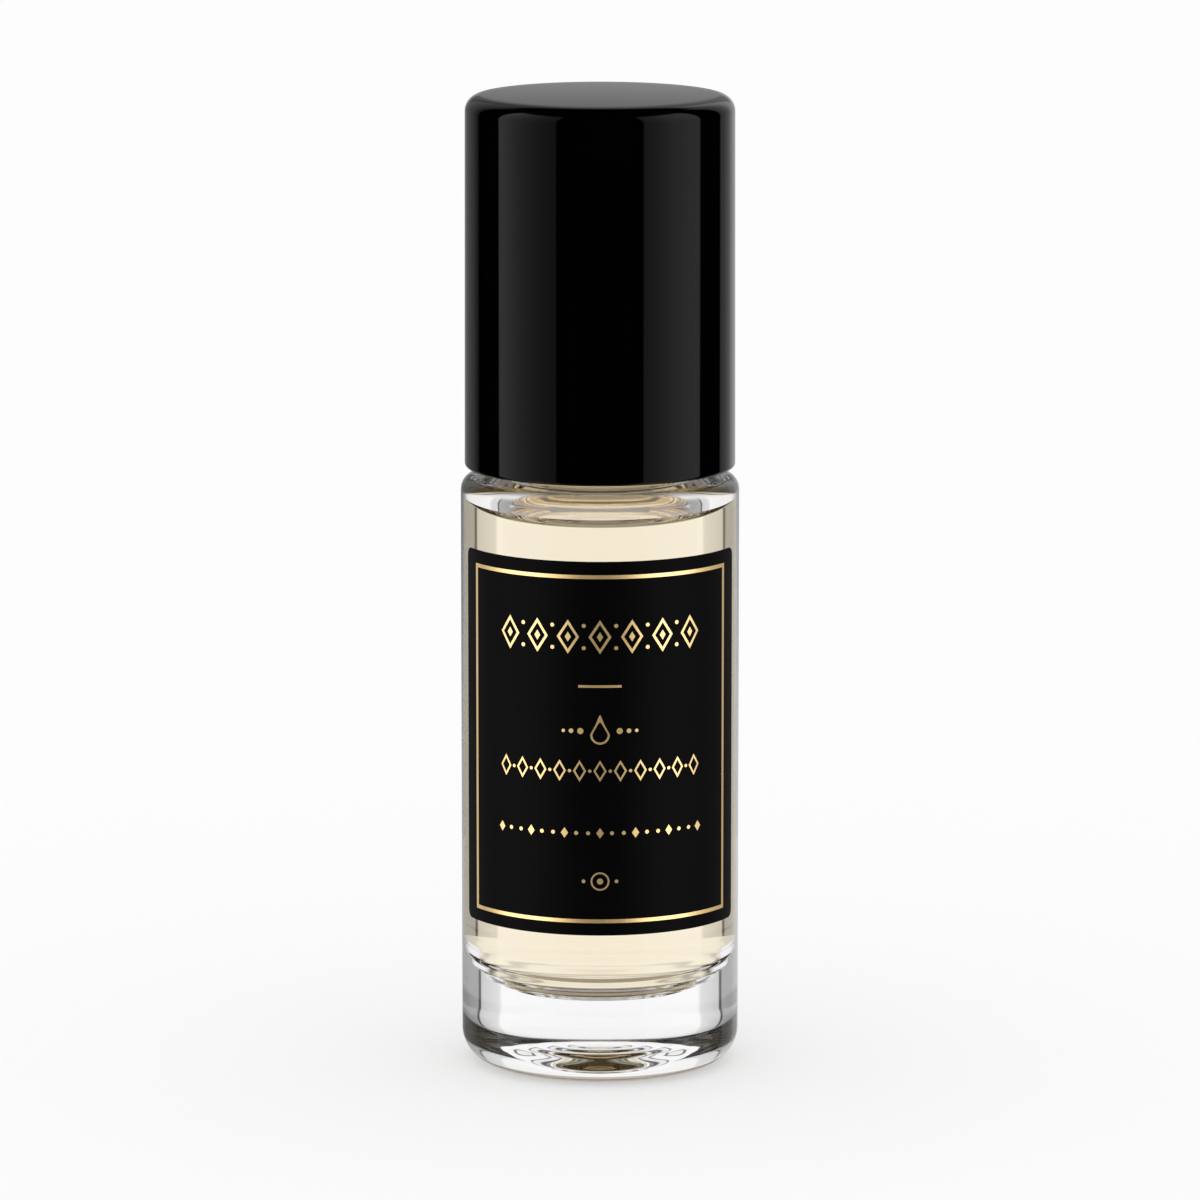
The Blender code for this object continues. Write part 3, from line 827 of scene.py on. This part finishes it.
def let_lamps_through(tree, shader, loss):
    """Rays that look for a lamp pass with the given loss. All others meet the real surface."""
    path = add_node(tree, "ShaderNodeLightPath")
    clear = add_node(tree, "ShaderNodeBsdfTransparent", (
        ("Color", (1.0 - loss, 1.0 - loss, 1.0 - loss, 1.0)),))
    mix = add_node(tree, "ShaderNodeMixShader", (
        (0, path.outputs["Is Shadow Ray"]), (1, shader.outputs[0]), (2, clear.outputs[0])))
    tree.links.new(mix.outputs[0], tree.nodes["Material Output"].inputs["Surface"])


# %% Glass
clear_glass, tree, shader = new_material("clear_glass", (1.0, 1.0, 1.0), Transmission_Weight=1.0,
                                         IOR=glass_index)
handled(tree, shader, 0.0, 0.003, 90.0, 700.0)
relief(tree, shader, 160.0, 0.0015 * MM)
let_lamps_through(tree, shader, 0.06)
haze = add_node(tree, "ShaderNodeVolumeAbsorption", (("Color", (0.5, 0.49, 0.5, 1.0)), ("Density", 10.0)))
tree.links.new(haze.outputs[0], tree.nodes["Material Output"].inputs["Volume"])

wetted_glass, tree, shader = new_material("wetted_glass", (1.0, 1.0, 1.0), Transmission_Weight=1.0,
                                          IOR=glass_index / oil_index, Roughness=0.0)
relief(tree, shader, 140.0, 0.004 * MM)
let_lamps_through(tree, shader, 0.0)

wavy_glass, tree, shader = new_material("wavy_floor_glass", (1.0, 1.0, 1.0), Transmission_Weight=1.0,
                                        IOR=wavy_floor_index, Roughness=0.0)
relief(tree, shader, 300.0, 0.004 * MM)
let_lamps_through(tree, shader, 0.0)

# The foot's dark brown base colour is painted shade where the glass meets the floor; its roughness is the
# scuffing.
scuffed_foot_painted_shade, tree, shader = new_material("scuffed_foot_painted_shade", (0.3, 0.24, 0.17), Transmission_Weight=1.0,
                                          IOR=glass_index)
handled(tree, shader, 0.12, 0.3, 700.0, 2500.0)
relief(tree, shader, 2200.0, 0.006 * MM)
let_lamps_through(tree, shader, 0.1)
print("glass materials:", clear_glass.name, wetted_glass.name, wavy_glass.name, scuffed_foot_painted_shade.name)

# %% Oil
oil_tint = (1.0, 0.93, 0.78)
oil_top, tree, shader = new_material("oil_surface", oil_tint, Transmission_Weight=1.0,
                                     IOR=oil_index, Roughness=0.0)
relief(tree, shader, 300.0, 0.0005 * MM)
let_lamps_through(tree, shader, 0.04)
oil_side, side_tree, shader = new_material("oil_against_glass", oil_tint,
                                           Transmission_Weight=1.0, IOR=1.0, Roughness=0.0)
let_lamps_through(side_tree, shader, 0.0)
for tree in (oil_top.node_tree, side_tree):
    depth = add_node(tree, "ShaderNodeVolumeAbsorption", (
        ("Color", (1.0, 0.73, 0.17, 1.0)), ("Density", 10.0)))
    tree.links.new(depth.outputs[0], tree.nodes["Material Output"].inputs["Volume"])
print("oil materials:", oil_top.name, oil_side.name)

# %% Hand them to the glass and the oil
foot_height = 0.62 * MM
level_margin = 0.001 * MM

glass_finishes = [clear_glass, wetted_glass, wavy_glass, scuffed_foot_painted_shade]
for finish in glass_finishes:
    glass_bottle.data.materials.append(finish)
wet_faces = 0
for face in glass_bottle.data.polygons:
    x, y, z = face.center
    from_axis = math.hypot(x, y)
    # The foot ring takes the scuffed finish with its painted dark brown shade.
    if z < foot_height and from_axis > body_radius - heel_radius:
        face.material_index = glass_finishes.index(scuffed_foot_painted_shade)
    if from_axis < cavity_radius + wall_margin and base_thickness - wall_margin < z < wet_top:
        finish = wetted_glass if z > floor_corner_top else wavy_glass
        face.material_index = glass_finishes.index(finish)
        wet_faces += 1
for finish in (oil_top, oil_side):
    perfume_oil.data.materials.append(finish)
for face in perfume_oil.data.polygons:
    if face.center.z < oil_level - level_margin:
        face.material_index = 1
print("wetted faces of the glass:", wet_faces)

# %% [markdown]
# ## Black film, its glue side and the foil
# From outside, the film is an almost black satin that lets the side lights glow faintly on its
# curve. Through the glass its glue side shows from behind as dull grey. The foil is a thin metal
# layer on a slightly uneven ground, so its light breaks up along every line.

# %% Film and glue
black_film, tree, shader = new_material("black_film", (0.0005, 0.0005, 0.0006), Specular_IOR_Level=0.035)
handled(tree, shader, 0.36, 0.46, 160.0, 1200.0)
film_grain = relief(tree, shader, 6000.0, 0.002 * MM, 0.4)
shaded(tree, shader, film_grain, (0.0003, 0.0003, 0.0003), (0.0009, 0.0009, 0.0009))

glue_side, tree, shader = new_material("label_glue_side", (0.24, 0.24, 0.235), Roughness=0.6)
glue_grain = relief(tree, shader, 1500.0, 0.004 * MM, 0.5)
shaded(tree, shader, glue_grain, (0.18, 0.18, 0.175), (0.29, 0.29, 0.28))

front_label.data.materials.append(black_film)
front_label.data.materials.append(glue_side)
for face in front_label.data.polygons:
    inwards = face.normal.x * face.center.x + face.normal.y * face.center.y < 0
    inner_skin = math.hypot(face.center.x, face.center.y) < film_inner_radius + 0.1 * film_thickness
    if inwards and inner_skin and abs(face.normal.z) < 0.5:
        face.material_index = 1
print("glue side faces:", sum(face.material_index for face in front_label.data.polygons))

# %% Foil
gold_foil, tree, shader = new_material("gold_foil", (0.93, 0.69, 0.34), Metallic=1.0)
handled(tree, shader, 0.2, 0.3, 500.0, 2500.0)
foil_grain = relief(tree, shader, 2600.0, 0.008 * MM, 0.6)
shaded(tree, shader, foil_grain, (0.86, 0.57, 0.23), (0.98, 0.72, 0.36))
for piece in foil_pieces:
    piece.data.materials.append(gold_foil)
print("foil on", len(foil_pieces), "pieces")

# %% [markdown]
# ## Plastics, foam and steel
# The cap is high-gloss black plastic with the faint orange peel of a moulding. The liner is dull
# white and the housing milky, natural plastic that lets some light in. The seal is a closed-cell
# foam with fine pits, and the ball is polished steel with hairlines from rolling.

# %% Cap
gloss_black, tree, shader = new_material("gloss_black", (0.0004, 0.0004, 0.0005), IOR=1.5)
handled(tree, shader, 0.0, 0.003, 70.0, 650.0)
peel = relief(tree, shader, 420.0, 0.0009 * MM)
shaded(tree, shader, peel, (0.0001, 0.0001, 0.0001), (0.0007, 0.0007, 0.0007))
cap_shell.data.materials.append(gloss_black)

white_plastic, tree, shader = new_material(
    "white_plastic", (0.8, 0.8, 0.78), Subsurface_Weight=0.1,
    Subsurface_Radius=(0.4 * MM, 0.4 * MM, 0.4 * MM), Subsurface_Scale=1.0)
handled(tree, shader, 0.38, 0.52, 150.0, 900.0)
plastic_grain = relief(tree, shader, 5000.0, 0.003 * MM, 0.5)
shaded(tree, shader, plastic_grain, (0.77, 0.77, 0.745), (0.83, 0.83, 0.81))
cap_liner.data.materials.append(white_plastic)

seal_foam, tree, shader = new_material("seal_foam", (0.88, 0.88, 0.86), Roughness=0.75)
place = add_node(tree, "ShaderNodeTexCoord").outputs["Object"]
cells = add_node(tree, "ShaderNodeTexVoronoi", (("Vector", place), ("Scale", 4500.0)))
pits = add_node(tree, "ShaderNodeBump", (
    ("Strength", 0.7), ("Distance", 0.03 * MM), ("Height", cells.outputs["Distance"])))
tree.links.new(pits.outputs["Normal"], shader.inputs["Normal"])
# The pits are painted darker than the cell walls around them: painted shade in the pits.
painted_pit_shade = add_node(tree, "ShaderNodeMix", (
    (0, cells.outputs["Distance"]), (6, (0.78, 0.78, 0.75, 1.0)), (7, (0.92, 0.92, 0.9, 1.0))),
    data_type="RGBA")
tree.links.new(painted_pit_shade.outputs[2], shader.inputs["Base Color"])
seal_disc.data.materials.append(seal_foam)
print("cap materials:", gloss_black.name, white_plastic.name, seal_foam.name)

# %% Roller
natural_plastic, tree, shader = new_material(
    "natural_plastic", (0.85, 0.86, 0.84), Subsurface_Weight=0.35,
    Subsurface_Radius=(1.0 * MM, 1.0 * MM, 1.0 * MM), Subsurface_Scale=1.0)
handled(tree, shader, 0.25, 0.42, 150.0, 900.0)
plastic_grain = relief(tree, shader, 3500.0, 0.002 * MM, 0.5)
shaded(tree, shader, plastic_grain, (0.82, 0.83, 0.81), (0.88, 0.89, 0.87))
roller_housing.data.materials.append(natural_plastic)

polished_steel, tree, shader = new_material("polished_steel", (0.6, 0.6, 0.61), Metallic=1.0)
handled(tree, shader, 0.05, 0.16, 200.0, 1500.0)
relief(tree, shader, 1800.0, 0.0006 * MM)
roller_ball.data.materials.append(polished_steel)
print("roller materials:", natural_plastic.name, polished_steel.name)

# %% [markdown]
# ## What rides on what
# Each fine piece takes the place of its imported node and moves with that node's body, so the cap
# still lifts and turns and the ball still rolls.

# %% Rides, replacements and slots
fine_pieces = (
    (glass_bottle, "glass_bottle", "clear_glass", "bottle"),
    (perfume_oil, "perfume_oil", "pale_oil", "bottle"),
    (front_label, "front_label", "black_film", "bottle"),
    (roller_housing, "roller_housing", "natural_plastic", "bottle"),
    (roller_ball, "roller_ball", "polished_steel", "ball"),
    (seal_disc, "cap_seal_disc", "seal_foam", "cap_seal"),
    (cap_liner, "cap_liner", "white_plastic", "cap"),
    (cap_shell, "cap_shell", "gloss_black", "cap"))
for piece, node, slot, body in fine_pieces:
    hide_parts(node)
    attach(piece, body)
for piece in foil_pieces:
    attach(piece, "bottle")
print("riding:", len(fine_pieces) + len(foil_pieces), "pieces")

# %% [markdown]
# ## Camera
# The photograph was taken with a long lens from about ten degrees above, far enough away that the
# bottle's sides stay almost parallel.

# %% Place the camera
camera_distance = 478.9 * MM
camera_pitch = math.radians(10.14)
aim_height = 30.33 * MM
sensor_width = 36.0
focal_share = 7389.0 / 1200.0

bpy.ops.object.camera_add(
    location=(0.0, -camera_distance * math.cos(camera_pitch),
              aim_height + camera_distance * math.sin(camera_pitch)),
    rotation=(0.5 * math.pi - camera_pitch, 0.0, 0.0))
camera = bpy.context.object
camera.data.sensor_width = sensor_width
camera.data.lens = sensor_width * focal_share
bpy.context.scene.camera = camera
print("lens", round(camera.data.lens, 1), "mm")

# %% [markdown]
# ## Floor
# A pale sweep that takes the bottle's soft contact shadow. Half of what the camera sees of it is its
# own even white, which keeps the shadow light, as fill light from a white studio does.

# %% Lay the floor
floor_size = 8.0
page_white = 0.985

bpy.ops.mesh.primitive_plane_add(size=floor_size, location=(0, 0, 0))
floor = bpy.context.object
floor.name = "pale_floor"
floor_white, tree, shader = new_material("pale_floor", (0.98, 0.98, 0.98), Roughness=0.6,
                                         Specular_IOR_Level=0.0)
path = add_node(tree, "ShaderNodeLightPath")
half = add_node(tree, "ShaderNodeMath", ((0, path.outputs["Is Camera Ray"]), (1, 0.5)),
                operation="MULTIPLY")
even = add_node(tree, "ShaderNodeEmission", (("Strength", page_white),))
mix = add_node(tree, "ShaderNodeMixShader", (
    (0, half.outputs[0]), (1, shader.outputs[0]), (2, even.outputs[0])))
tree.links.new(mix.outputs[0], tree.nodes["Material Output"].inputs["Surface"])
floor.data.materials.append(floor_white)
floor.visible_glossy = False
floor.visible_transmission = False
print("floor", floor_size, "m across")

# %% [markdown]
# ## Studio light
# A product photographer lights a gloss black cap with two tall soft boxes at its sides and black
# flags between them, and clear glass with a white wall behind it. All of that surrounds the bottle
# and stands far off, so it is written into the world, by compass direction from the camera's side.
# Matt surfaces only get an even light of strength 1, under which a colour renders as it is written.
# What the glass shows from steeply above or below goes by height instead: a dim table, a bright wall
# with a thin black bar high on it, and a dim ceiling. They draw the fine dark lines in thick glass.

# %% World helpers
studio = bpy.context.scene.world or bpy.data.worlds.new("studio")
bpy.context.scene.world = studio
studio.use_nodes = True
studio.cycles.sampling_method = "NONE"
sky = studio.node_tree


def sums(operation, first, second=0.0, third=0.0):
    return add_node(sky, "ShaderNodeMath", ((0, first), (1, second), (2, third)),
                    operation=operation).outputs[0]


def choose(share, without, with_it):
    return add_node(sky, "ShaderNodeMix", ((0, share), (2, without), (3, with_it)),
                    data_type="FLOAT").outputs[0]


def ramp(value, stops):
    """Brightness by a value from 0 to 1."""
    node = add_node(sky, "ShaderNodeValToRGB", ((0, value),))
    elements = node.color_ramp.elements
    while len(elements) > 1:
        elements.remove(elements[-1])
    elements[0].position = stops[0][0]
    elements[0].color = (stops[0][1],) * 3 + (1.0,)
    for place, brightness in stops[1:]:
        element = elements.new(place)
        element.color = (brightness,) * 3 + (1.0,)
    return node.outputs[0]


def round_studio(direction, stops):
    """Brightness by degrees from the camera's side, 0, to straight behind the bottle, 180."""
    return ramp(direction, [(degrees / 180, brightness) for degrees, brightness in stops])


# %% Compass direction
direction = add_node(sky, "ShaderNodeTexCoord").outputs["Generated"]
x, y, z = add_node(sky, "ShaderNodeSeparateXYZ", ((0, direction),)).outputs
turned = sums("DIVIDE", sums("ARCTAN2", sums("ABSOLUTE", x), sums("MULTIPLY", y, -1.0)), math.pi)
rightwards = sums("GREATER_THAN", x, 0.0)
print("direction and height take", len(sky.nodes), "nodes")

# %% Soft boxes and flags as gloss mirrors them
left = round_studio(turned, (
    (0, 0), (37, 0), (38.5, 0.14), (52, 0.19), (71, 0.35), (90, 0.58), (95.5, 0.55), (96.5, 0.0),
    (125, 0.0), (129, 0.1), (138, 0.2), (159, 0.25), (180, 0.4)))
right = round_studio(turned, (
    (0, 0), (37, 0), (38, 0.2), (52, 0.28), (67, 0.45), (82, 0.5), (93.5, 0.47), (95.5, 0.0),
    (123.5, 0.0), (125.5, 0.25), (131, 0.27), (143, 0.42), (152, 0.68), (168, 0.6), (180, 0.4)))
roof = ramp(sums("MAXIMUM", z, 0.0), ((0, 1.0), (0.3, 1.15), (0.62, 1.3), (0.7, 1.1), (0.78, 0.0)))
horizon = add_node(sky, "ShaderNodeMapRange", (
    ("Value", z), ("From Min", 0.08), ("From Max", 0.14), ("To Min", 1.1), ("To Max", 0.5)))
mirrored = sums("MULTIPLY", choose(rightwards, left, right), roof)
mirrored = sums("MULTIPLY", mirrored, choose(sums("GREATER_THAN", turned, 0.9), 1.0, horizon.outputs[0]))
print("with what gloss mirrors:", len(sky.nodes), "nodes")

# %% Soft boxes as satin spreads them
satin_left = round_studio(turned, (
    (0, 0.3), (18, 0.38), (35, 1.1), (50, 1.9), (80, 1.9), (97, 0.8), (112, 0.5), (122, 0.8),
    (132, 0.4), (180, 0.4)))
satin_right = round_studio(turned, (
    (0, 0.3), (18, 0.38), (30, 0.9), (45, 1.9), (70, 2.0), (84, 1.0), (97, 0.7), (112, 0.5),
    (124, 0.5), (180, 0.4)))
satin = sums("MULTIPLY", choose(rightwards, satin_left, satin_right), roof)
print("with satin:", len(sky.nodes), "nodes")

# %% White wall, table and ceiling as glass shows them
through_glass = round_studio(turned, (
    (0, 0.95), (60, 0.95), (84, 0.37), (110, 0.37), (128, 0.44), (129, 0.1), (130.5, 0.1),
    (131.5, 0.72), (144.5, 0.84), (146, 1.07), (180, 1.07)))
steep = add_node(sky, "ShaderNodeMapRange", (
    ("Value", sums("ABSOLUTE", z)), ("From Min", 0.25), ("From Max", 0.5)), interpolation_type="SMOOTHSTEP")
floor_to_roof = ramp(sums("MULTIPLY_ADD", z, 0.5, 0.5), (
    (0.0, 0.34), (0.125, 0.34), (0.185, 0.5), (0.25, 0.85), (0.33, 0.97), (0.71, 0.97), (0.72, 0.15),
    (0.746, 0.15), (0.756, 0.97), (0.85, 0.97), (0.88, 0.15), (0.92, 0.15), (0.935, 0.6), (0.95, 0.15),
    (0.975, 0.5), (0.99, 0.2)))
through_glass = choose(steep.outputs[0], through_glass, floor_to_roof)
print("with what glass shows:", len(sky.nodes), "nodes")

# %% What each kind of ray sees
path = add_node(sky, "ShaderNodeLightPath")
mirrored = choose(path.outputs["Is Singular Ray"], satin, mirrored)
brightness = choose(path.outputs["Is Glossy Ray"], 1.0, mirrored)
brightness = choose(path.outputs["Is Transmission Ray"], brightness, through_glass)
brightness = choose(path.outputs["Is Camera Ray"], brightness, page_white)
sky.links.new(brightness, sky.nodes["Background"].inputs["Strength"])
sky.nodes["Background"].inputs["Color"].default_value = (1.0, 1.0, 1.0, 1.0)
print("studio made of", len(sky.nodes), "nodes")

# %% Light paths and view
scene = bpy.context.scene
scene.view_settings.view_transform = "Standard"
scene.cycles.max_bounces = 40
scene.cycles.glossy_bounces = 32
scene.cycles.transmission_bounces = 40
print("light may bounce", scene.cycles.max_bounces, "times")
